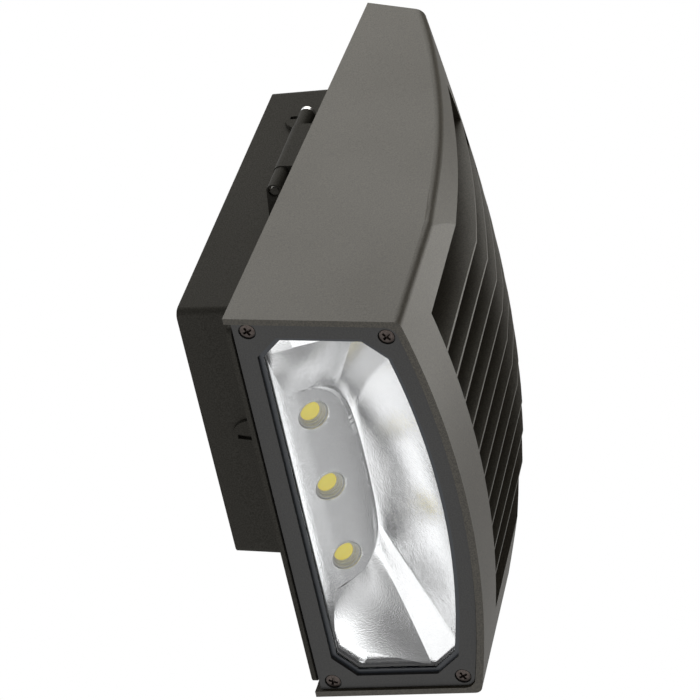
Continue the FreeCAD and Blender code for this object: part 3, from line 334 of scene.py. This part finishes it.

# %% [markdown]
# The imported model says which finish each node wants, by the name of its slot. One table turns
# those names into the materials above. The wall box, the rear cover and the plugs share a
# duller coat than the lamp head, whose darker tones are painted shade under the head's
# overhang, so they are listed apart.

# %% Every imported node takes its finish
FINISH = {
    "bronze_coat": coat, "bronze_smooth": smooth_coat_painted_shade, "seal_black": seal_black,
    "seal_slate": seal_slate, "bright_steel": bright_steel, "bronze_screw": bronze_screw,
    "zinc_steel": zinc, "ground_green": ground_green, "reflector_bright": reflector_bright,
    "clear_glass": glass, "phosphor": phosphor, "module_white": ceramic,
    "board_white": board_white, "pad_grey": pad_grey, "driver_case": driver_case,
    "bush_black": bush_black,
}
BOX_CASTINGS = ("back_box", "rear_cover", "conduit_plugs")
slot_of = {row["node"]: row["material_slot"] for row in frame["record"]["subparts"]}
for name, thing in nodes.items():
    for place in thing.material_slots:
        place.material = box_coat_painted_shade if name in BOX_CASTINGS else FINISH[slot_of[name]]
print("dressed", len(nodes), "nodes in", len(set(slot_of.values())), "finishes")

# %% [markdown]
# The reflector is the heart of the lamp: a tilted platform with a hole for each light, a
# steep back wall, hollow end walls and a long hollow front wall. It is drawn as four rings,
# mouth, waist, shoulder and platform edge. A smooth curve leads from the mouth through the
# waist to the shoulder, and a short straight step from there to the edge. The mouth and the
# waist have real corners, where the sheet is creased. The shoulder and the edge are round in
# front. All four are cut into the same six runs, so that a crease meets a crease.
#
# This sheet takes the place of the engineering model's plainer reflector. Its platform curls
# down behind the lights, and the waist's front lies 3.5 mm nearer to the door than there. That
# depth was chosen so that the lights' yellow reflections fall near where the photograph has
# them.

# %% The tilted platform
TILT = math.radians(38.0)
LED_Y, LED_H, LED_PITCH, HOLE_R = -75.8, 22.3, 43.7, 7.9
BEND_Y, BEND = -73.0, 0.046


def plane_height(y):
    """Height of the tilted platform at a depth y: the lights' height plus the slope's rise."""
    return LED_H + (LED_Y - y) * math.tan(TILT)


def bend_drop(y):
    """How far the platform curls down: BEND times the squared distance behind its bend line."""
    return BEND * np.clip(y - BEND_Y, 0.0, None) ** 2


def on_plane(corners):
    """Corners (x, y) take the height of the curled platform below them."""
    return np.array([(x, y, plane_height(y) - bend_drop(y)) for x, y in corners])


print("platform height at its bend", round(plane_height(BEND_Y), 1), "mm above the door")

# %% Rings of the reflector, right half, from back to front
MOUTH = np.array([(90.2, -63.9, 8.8), (102.8, -112.0, 8.8), (88.3, -127.8, 8.8)])
WAIST = np.array([(76.5, -65.3, 11.4), (76.5, -98.3, 25.1), (57.1, -103.0, 30.5)])
FRONTS = {"mouth": (-138.4, 8.8), "waist": (-117.5, 28.0)}
EDGE = on_plane([(60.4, -68.6), (58.8, -75.0), (56.8, -79.2), (54.4, -82.0), (51.0, -84.5),
                 (46.5, -86.7), (40.0, -88.3), (32.9, -89.2), (23.0, -90.0), (11.0, -90.4),
                 (0.0, -90.5)])
SHOULDER = np.array([(61.0, -67.4, 14.3), (59.7, -74.4, 21.7), (57.7, -79.8, 27.2),
                     (55.2, -82.8, 31.6), (51.6, -85.5, 34.9), (46.9, -87.9, 36.2),
                     (40.1, -89.5, 36.6), (33.0, -90.4, 36.7), (23.0, -91.3, 36.5),
                     (11.0, -91.7, 36.3), (0.0, -91.8, 36.2)])
print("corners in a half ring", len(MOUTH), len(WAIST), len(SHOULDER), len(EDGE))

# %% Rings with corners
STRAIGHT = (0.0, 0.0, 0.0)
BACK_POINTS, END_POINTS, STRIP_POINTS, FRONT_POINTS = 61, 41, 17, 81
FLIP = np.array([-1.0, 1.0, 1.0])


def bowed(first, last, sag, count):
    """Points from first to last, pushed sideways by sag times one minus u squared."""
    t = np.linspace(0.0, 1.0, count)[:, None]
    u = 2.0 * t - 1.0
    return first + (last - first) * t + np.asarray(sag) * (1.0 - u ** 2)


def ring_runs(corners, front):
    """The six runs round a ring: back, end, strip, bowed front, strip and end."""
    right, left = corners, corners * FLIP
    sag = np.array([0.0, front[0] - right[2, 1], front[1] - right[2, 2]])
    return [bowed(left[0], right[0], STRAIGHT, BACK_POINTS),
            bowed(right[0], right[1], STRAIGHT, END_POINTS),
            bowed(right[1], right[2], STRAIGHT, STRIP_POINTS),
            bowed(right[2], left[2], sag, FRONT_POINTS),
            bowed(left[2], left[1], STRAIGHT, STRIP_POINTS),
            bowed(left[1], left[0], STRAIGHT, END_POINTS)]


mouth = ring_runs(MOUTH, FRONTS["mouth"])
waist = ring_runs(WAIST, FRONTS["waist"])
print("points in the runs of the mouth", [len(run) for run in mouth])

# %% [markdown]
# The shoulder and the edge are drawn as a few points, and cutting every corner again and again
# rounds them. The round line has no corners left to split it at, so its runs end where the line
# passes two chosen widths: FOLD_AT and STRIP_AT, in mm from the middle.

# %% Rings that are round in front
FOLD_AT, STRIP_AT = 50.0, 34.0
ROUNDS = 4


def eased(line):
    """Open line whose inner corners are cut at a quarter of each side, ROUNDS times."""
    for _ in range(ROUNDS):
        a, b = line[:-1], line[1:]
        inner = np.stack([0.75 * a + 0.25 * b, 0.25 * a + 0.75 * b], 1).reshape(-1, 3)
        line = np.concatenate([line[:1], inner, line[-1:]])
    return line


def round_runs(half):
    """The six runs of a ring that is round in front: half of it is given, back to front."""
    line = eased(np.concatenate([half, half[-2::-1] * FLIP]))
    step = np.linalg.norm(np.diff(line, axis=0), axis=1)
    along = np.concatenate([[0.0], np.cumsum(step)]) / step.sum()
    front_half = along <= 0.5
    fold = np.interp(-FOLD_AT, -line[front_half, 0], along[front_half])
    strip = np.interp(-STRIP_AT, -line[front_half, 0], along[front_half])

    def part(start, stop, count):
        """Points spaced evenly along the line between two shares of its length."""
        at = np.linspace(start, stop, count)
        return np.stack([np.interp(at, along, line[:, k]) for k in range(3)], 1)

    return [bowed(half[0] * FLIP, half[0], STRAIGHT, BACK_POINTS),
            part(0.0, fold, END_POINTS), part(fold, strip, STRIP_POINTS),
            part(strip, 1 - strip, FRONT_POINTS),
            part(1 - strip, 1 - fold, STRIP_POINTS), part(1 - fold, 1.0, END_POINTS)]


shoulder, edge = round_runs(SHOULDER), round_runs(EDGE)
print("points in the runs of the edge", [len(run) for run in edge])

# %% Walls from ring to ring
WALL_ROWS = 33


def hollow(first, through, last, count):
    """Each line runs along a parabola: first, through at its middle, last."""
    t = np.linspace(0.0, 1.0, count)[:, None, None]
    near, mid, far = (1 - t) * (1 - 2 * t), 4 * t * (1 - t), t * (2 * t - 1)
    return near * first + mid * through + far * last


def drop(points):
    """Heights above the door plane become z."""
    moved = points.copy()
    moved[..., 2] = up(moved[..., 2])
    return moved


walls = [hollow(a, b, c, WALL_ROWS) for a, b, c in zip(mouth, waist, shoulder)]
steps = [np.stack([a, b]) for a, b in zip(shoulder, edge)]
print("reflector walls", [w.shape[:2] for w in walls])

# %% [markdown]
# The platform has three round holes. A hole in a grid is easy if the grid is laid out around
# it: rays leave the rim of each hole and end on the platform's outline. Between two holes the
# outline is simply the line halfway between them.

# %% Places on the platform
EITHER_SIDE = 1e-6
PARALLEL = 1e-9
NEVER = 1e9


def tilted(x, along, deep):
    """Point on the platform: along runs forward and up, deep runs into the housing."""
    x, along, deep = np.broadcast_arrays(x, along, deep)
    y = LED_Y - along * math.cos(TILT) + deep * math.sin(TILT)
    z = up(LED_H + along * math.sin(TILT) + deep * math.cos(TILT))
    curl = bend_drop(LED_Y - along * math.cos(TILT)) * np.clip(1.0 - deep, 0.0, 1.0)
    return np.stack([x, y, z - curl], -1)


def along_of(y):
    """Distance along the platform of a depth y: the depth difference over the cosine."""
    return (LED_Y - y) / math.cos(TILT)


def outline_distance(centre, angle, polygon):
    """Distance from a centre to a polygon along each ray: the nearest edge crossed."""
    a = polygon
    b = np.roll(polygon, -1, 0)
    ray = np.stack([np.cos(angle), np.sin(angle)], -1)[:, None, :]
    side = (b - a)[None]
    offset = (a - centre)[None]
    cross = ray[..., 0] * side[..., 1] - ray[..., 1] * side[..., 0]
    cross = np.where(np.abs(cross) < PARALLEL, PARALLEL, cross)
    reach = (offset[..., 0] * side[..., 1] - offset[..., 1] * side[..., 0]) / cross
    share = (offset[..., 0] * ray[..., 1] - offset[..., 1] * ray[..., 0]) / cross
    good = (reach > 0) & (share >= -EITHER_SIDE) & (share <= 1 + EITHER_SIDE)
    return np.where(good, reach, NEVER).min(1)


rim_line = np.concatenate([run[:-1] for run in edge])
flat = np.stack([rim_line[:, 0], along_of(rim_line[:, 1])], 1)
print("platform outline", len(flat), "points")

# %% One part of the platform for each hole
HOLES = (-1, 0, 1)
FAR_OFF = 1e3


def cell(index):
    """Part of the platform that belongs to one hole, as a polygon in platform coordinates."""
    low = -FAR_OFF if index == HOLES[0] else (index - 0.5) * LED_PITCH
    high = FAR_OFF if index == HOLES[-1] else (index + 0.5) * LED_PITCH
    shape = flat.copy()
    for limit, sign in ((low, 1.0), (high, -1.0)):
        following = np.roll(shape, -1, 0)
        inside = sign * (shape[:, 0] - limit) >= 0
        crossed = inside != np.roll(inside, -1)
        run = np.where(crossed, following[:, 0] - shape[:, 0], 1.0)
        crossing = shape + (following - shape) * ((limit - shape[:, 0]) / run)[:, None]
        both = np.stack([shape, crossing], 1).reshape(-1, 2)
        shape = both[np.stack([inside, crossed], 1).ravel()]
    return shape


def holed(index, count=144, rings=10):
    """Polar grid from a hole's rim to the edge of its cell."""
    centre = np.array([index * LED_PITCH, 0.0])
    shape = cell(index)
    corners = np.arctan2(shape[:, 1], shape[:, 0] - centre[0])
    even = np.linspace(-math.pi, math.pi, count, False)
    angle = np.unique(np.round(np.concatenate([even, corners]), 6))
    far = outline_distance(centre, angle, shape)
    t = np.linspace(0.0, 1.0, rings)[:, None]
    r = HOLE_R + (far[None] - HOLE_R) * t
    return tilted(centre[0] + r * np.cos(angle), r * np.sin(angle), 0.0)


platform = [holed(i) for i in HOLES]
print("rays from each hole", [p.shape[1] for p in platform])

# %% [markdown]
# Round pieces in the holes share one axis with them, so a profile of radius and depth, turned
# about that axis, makes each. The first is the collar, where the sheet is drawn down into the
# hole.

# %% Profiles turned about a hole
COLLAR = [(7.9, 0.0), (7.75, 0.35), (7.7, 1.0), (7.7, 5.4)]


def turned(index, profile, count=96):
    """A profile of (radius, depth) turned about a hole's axis."""
    angle = np.linspace(0.0, 2.0 * math.pi, count, False)[None]
    r, deep = np.array(profile)[:, :1], np.array(profile)[:, 1:]
    return tilted(index * LED_PITCH + r * np.cos(angle), r * np.sin(angle), deep)


collars = [turned(i, COLLAR) for i in HOLES]
print("collars", len(collars), "of", collars[0].shape[:2], "points")

# %% [markdown]
# Round the mouth the sheet turns out into a flat flange, wide at the back corners, where the
# two small screws hold it. The flange follows the lens opening, so it is a strip between the
# mouth and that outline.

# %% Flange
LENS = np.array([(93.5, -62.6), (104.7, -74.1), (103.0, -116.5), (91.5, -129.2)])
LENS_FRONT = -139.9
FLANGE_OUT = 3.0
FLANGE_CENTRE = np.array([0.0, -95.0])


def lens_run(out):
    """Lens opening as one row of points, each moved outwards by out along its normal."""
    right = LENS.copy()
    left = right[::-1] * FLIP[:2]
    t = np.linspace(-1.0, 1.0, FRONT_POINTS)[:, None]
    depth = LENS_FRONT + (LENS[3, 1] - LENS_FRONT) * t ** 2
    front = np.concatenate([-LENS[3, 0] * t, depth], 1)
    row = np.concatenate([right, front[1:-1], left])
    ahead = np.roll(row, -1, 0) - np.roll(row, 1, 0)
    normal = np.stack([-ahead[:, 1], ahead[:, 0]], 1)
    normal /= np.linalg.norm(normal, axis=1)[:, None]
    return row + normal * out


def match_rays(inner, outer):
    """For each inner point, the outer outline's point in the same direction."""
    angle = np.arctan2(inner[:, 1] - FLANGE_CENTRE[1], inner[:, 0])
    far = outline_distance(FLANGE_CENTRE, angle, outer)
    return FLANGE_CENTRE + far[:, None] * np.stack([np.cos(angle), np.sin(angle)], 1)


mouth_line = np.concatenate([run[:-1] for run in mouth])
outer = lens_run(FLANGE_OUT)
away = match_rays(mouth_line[:, :2], outer)
flange = np.stack([mouth_line, np.concatenate([away, mouth_line[:, 2:]], 1)])
print("flange outline", np.round(np.abs(outer).max(0), 1))

# %% The reflector as one sheet
SHEET_SHARP = 24.0
sheet = [(drop(w), False, False) for w in walls] + [(drop(s), False, False) for s in steps]
sheet += [(p, False, True) for p in platform] + [(c, False, True) for c in collars]
sheet += [(drop(flange), False, True)]
bowl = piece("reflector_sheet", sheet, "lamp_head", reflector_bright,
             SHEET_SHARP)
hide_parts("reflector")

# %% [markdown]
# Each light is a yellow disc of phosphor in a stepped ring of pale moulded plastic, which
# fills its hole. The steps catch the light as thin bright arcs. The ring is drawn only here,
# and the disc stands about 2 mm nearer to the platform than in the engineering model.

# %% Lights in their holes, as (radius, depth)
RING = [(7.6, 5.2), (7.6, 1.0), (7.45, 0.8), (6.9, 0.8), (6.75, 0.95), (6.7, 2.3), (6.55, 2.5),
        (6.1, 2.5), (5.95, 2.65), (5.9, 3.7), (5.75, 3.9), (5.3, 3.9), (5.2, 4.0), (5.15, 5.2),
        (7.6, 5.2)]
DISC = [(0.0, 4.15), (2.6, 4.17), (4.6, 4.25), (5.0, 4.4), (5.1, 4.8), (5.1, 6.2), (0.0, 6.2)]
RING_SHARP, DISC_SHARP = 35.0, 50.0
rings = [(turned(i, RING), False, True) for i in HOLES]
discs = [(turned(i, DISC), False, True) for i in HOLES]
piece("lamp_rings", rings, "lamp_head", ceramic, RING_SHARP)
lit = piece("lamp_discs", discs, "lamp_head", phosphor, DISC_SHARP)
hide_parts("led_discs")

# %% [markdown]
# The screws that hold the lens door and the reflector have low domed heads with a cross
# recess. A head is a polar grid whose height is the dome plus the recess, and the recess is
# deep wherever a point lies inside one of the two crossed arms. Only the heads are drawn: the
# shanks are hidden, and they are in the engineering model.

# %% A screw head with a cross
HEAD_RINGS, HEAD_SPOKES = 56, 240
RECESS_SLOPE = 0.18
DOME_POWER = 2.5


def crossed_head(place, turn, radius, crown, rim, foot, arm, half, depth):
    """Head at (x, y); heights above the door: crown at the middle, rim, and foot below it."""
    r = np.append(np.linspace(0.0, radius, HEAD_RINGS), radius)[:, None]
    angle = np.linspace(0.0, 2.0 * math.pi, HEAD_SPOKES, False)[None]
    along, across = r * np.cos(angle), r * np.sin(angle)
    one = np.maximum(np.abs(along) - arm, np.abs(across) - half)
    other = np.maximum(np.abs(across) - arm, np.abs(along) - half)
    sunk = np.clip(-np.minimum(one, other) / RECESS_SLOPE, 0.0, 1.0) * depth
    height = crown + (rim - crown) * (r / radius) ** DOME_POWER + sunk
    height[-1] = foot
    c, s = math.cos(turn), math.sin(turn)
    x = place[0] + along * c - across * s
    y = place[1] + along * s + across * c
    return np.stack([x, y, up(height)], -1)


print("points in a head", (HEAD_RINGS + 1) * HEAD_SPOKES)

# %% Screws of the door and the reflector
DOOR_SCREWS = ((108.6, -60.6), (104.4, -129.2))
DOOR_HEAD = {"radius": 3.7, "crown": 0.75, "rim": 1.25, "foot": 2.4,
             "arm": 2.4, "half": 0.62, "depth": 1.6}
REFLECTOR_SCREW = (102.0, -75.0)
REFLECTOR_HEAD = {"radius": 2.3, "crown": 7.6, "rim": 7.9, "foot": 8.8,
                  "arm": 1.3, "half": 0.28, "depth": 0.7}
TURNS = (0.35, 1.1, -0.5, 0.8)
HEAD_SHARP = 40.0

places = [(sign * x, y) for x, y in DOOR_SCREWS for sign in (1.0, -1.0)]
heads = [(crossed_head(p, t, **DOOR_HEAD), False, True) for p, t in zip(places, TURNS)]
screws = piece("door_screw_heads", heads, "lamp_head", bronze_screw, HEAD_SHARP)
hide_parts("door_screws")
places = [(sign * REFLECTOR_SCREW[0], REFLECTOR_SCREW[1]) for sign in (1.0, -1.0)]
heads = [(crossed_head(p, t, **REFLECTOR_HEAD), False, True) for p, t in zip(places, TURNS)]
small = piece("reflector_screw_heads", heads, "lamp_head", bright_steel,
              HEAD_SHARP)
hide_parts("reflector_screws")

# %% [markdown]
# The camera stands below and in front, to the left. Its place and turn were solved from the
# picture's own corners. A long lens keeps the lines of the casting almost parallel.

# %% Camera
RIGHT, ABOVE = (0.1869, -0.9547, 0.2318), (-0.8061, -0.0142, 0.5915)
AHEAD = (0.5614, 0.2974, 0.7722)
EYE_AT = (-1.349, -0.7729, -1.8841)
FOCAL, SENSOR, SIGHT = 241.7, 36.0, 50.0


def look(right, above, ahead):
    """Turn whose columns are right, above and the reverse of ahead, as Blender's cameras need."""
    turn = np.eye(4)
    turn[:3, 0], turn[:3, 1], turn[:3, 2] = right, above, -np.asarray(ahead)
    return turn


scene = bpy.context.scene
view = look(RIGHT, ABOVE, AHEAD)
view[:3, 3] = EYE_AT
eye = bpy.data.cameras.new("camera")
eye.lens, eye.sensor_width, eye.clip_end = FOCAL, SENSOR, SIGHT
camera = bpy.data.objects.new("camera", eye)
scene.collection.objects.link(camera)
camera.matrix_world = Matrix(view.tolist())
scene.camera = camera
print("camera at", tuple(round(v, 3) for v in camera.location))

# %% [markdown]
# A pale floor lies 2.6 m below the middle of the wall box, as if the lamp hung high on a wall.
# It neither lights the lamp nor shows in it: a floor in the mirror would cover the soft
# patches of light that the next step puts there.

# %% Floor
FLOOR_HALF, FLOOR_POINTS, FLOOR_Z = 6000.0, 9, -2600.0
line = np.linspace(-FLOOR_HALF, FLOOR_HALF, FLOOR_POINTS)
floor_grid = np.stack(np.meshgrid(line, line, indexing="ij"), -1)
floor_height = np.full((FLOOR_POINTS, FLOOR_POINTS, 1), FLOOR_Z)
floor_points = np.concatenate([floor_grid, floor_height], -1)
pale = grained("pale_floor", (0.80, 0.80, 0.79), (0.84, 0.84, 0.83), 12.0, (0.7, 0.8), 0.0001)
mesh = bpy.data.meshes.new("floor")
floor_faces = grid_faces(FLOOR_POINTS, FLOOR_POINTS).tolist()
mesh.from_pydata((floor_points.reshape(-1, 3) * MM).tolist(), [], floor_faces)
mesh.materials.append(pale)
floor = bpy.data.objects.new("floor", mesh)
scene.collection.objects.link(floor)
floor.visible_diffuse = floor.visible_glossy = floor.visible_transmission = False
print("floor", len(mesh.polygons), "faces")

# %% [markdown]
# The surround is white only where the camera looks straight at it. What lights the lamp is a
# dimmer surround of soft patches, because a mirror shows whatever it faces. The patches were
# first estimated from the brightness that the photograph's reflector shows, then set for this
# one view. So part of the likeness here is lighting, and it is less plain than one soft lamp
# in a white room would be.

# %% Soft patches of brightness
def soft_patch(tree, where, toward, inner, outer, level):
    """Brightness that fades from level, within the inner angle of a direction, to nothing."""
    dot = tree.nodes.new("ShaderNodeVectorMath")
    dot.operation = "DOT_PRODUCT"
    toward = np.array(toward) / np.linalg.norm(toward)
    dot.inputs[1].default_value = toward.tolist()
    tree.links.new(where, dot.inputs[0])
    fade = tree.nodes.new("ShaderNodeMapRange")
    fade.interpolation_type = "SMOOTHSTEP"
    fade.inputs["From Min"].default_value = math.cos(math.radians(outer))
    fade.inputs["From Max"].default_value = math.cos(math.radians(inner))
    fade.inputs["To Max"].default_value = level
    tree.links.new(dot.outputs["Value"], fade.inputs["Value"])
    return fade.outputs["Result"]


def add(tree, first, second):
    """Sum of two values."""
    plus = tree.nodes.new("ShaderNodeMath")
    tree.links.new(first, plus.inputs[0])
    tree.links.new(second, plus.inputs[1])
    return plus.outputs["Value"]


# direction, full within, gone beyond (degrees), brightness
SURROUND = (
    ((0.32, 0.48, -0.82), 20.0, 60.0, 0.80),
    ((0.35, -0.05, -0.93), 10.0, 40.0, 0.45),
    ((0.08, -0.50, -0.86), 10.0, 36.0, 0.50),
    ((-0.19, 0.57, -0.80), 10.0, 40.0, 0.20),
    ((-0.54, -0.62, -0.56), 5.0, 22.0, 0.70),
    ((0.52, -0.84, 0.13), 6.0, 15.0, 2.60),
    ((0.91, -0.29, 0.29), 20.0, 60.0, 0.40),
    ((0.33, -0.90, 0.28), 10.0, 32.0, 0.90),
    ((0.25, 0.80, 0.55), 25.0, 60.0, 0.80),
    ((0.00, 1.00, 0.10), 25.0, 60.0, 0.30),
)
DIM = 0.13
WHITE = 1.0
print("patches", len(SURROUND), "over an even level of", DIM)

# %% The surround: white to the camera, patches to everything else
world = bpy.data.worlds.new("studio")
world.use_nodes = True
tree = world.node_tree
shade = tree.nodes["Background"]
direction = tree.nodes.new("ShaderNodeTexCoord").outputs["Generated"]
total = soft_patch(tree, direction, *SURROUND[0])
for patch in SURROUND[1:]:
    total = add(tree, total, soft_patch(tree, direction, *patch))
even_level = tree.nodes.new("ShaderNodeMath")
even_level.inputs[1].default_value = DIM
tree.links.new(total, even_level.inputs[0])
seen = tree.nodes.new("ShaderNodeLightPath").outputs["Is Camera Ray"]
pick = tree.nodes.new("ShaderNodeMix")
tree.links.new(seen, pick.inputs["Factor"])
tree.links.new(even_level.outputs["Value"], pick.inputs["A"])
pick.inputs["B"].default_value = WHITE
tree.links.new(pick.outputs["Result"], shade.inputs["Strength"])
shade.inputs["Color"].default_value = (WHITE, WHITE, WHITE, 1.0)
scene.world = world
scene.view_settings.view_transform = "Standard"
print("surround made of", len(tree.nodes), "nodes")

# %% [markdown]
# Two soft, slightly warm lights stand high to the left and in front, and light the casting's
# sides and fins. Their places and levels were set too. The camera doesn't see them.

# %% Two soft lights
WARM = (1.0, 0.98, 0.92)
LAMP_MIDDLE = np.array([0.0, -0.08, 0.0])


def soft_light(name, toward, distance, size, level):
    """Square soft light of a given brightness that looks at the middle of the lamp."""
    lamp = bpy.data.lights.new(name, "AREA")
    lamp.size, lamp.energy, lamp.color = size, level * math.pi * size ** 2, WARM
    thing = bpy.data.objects.new(name, lamp)
    scene.collection.objects.link(thing)
    toward = np.array(toward) / np.linalg.norm(toward)
    right = np.cross(-toward, (0.0, 0.0, 1.0))
    right /= np.linalg.norm(right)
    turn = look(right, np.cross(right, -toward), -toward)
    turn[:3, 3] = LAMP_MIDDLE + toward * distance
    thing.matrix_world = Matrix(turn.tolist())
    thing.visible_camera = False
    print(name, round(lamp.energy, 2), "W")


soft_light("left_light", (-0.64, 0.20, 0.72), distance=1.4, size=1.3, level=2.15)
soft_light("front_light", (0.15, -0.72, 0.68), distance=0.55, size=0.35, level=2.5)
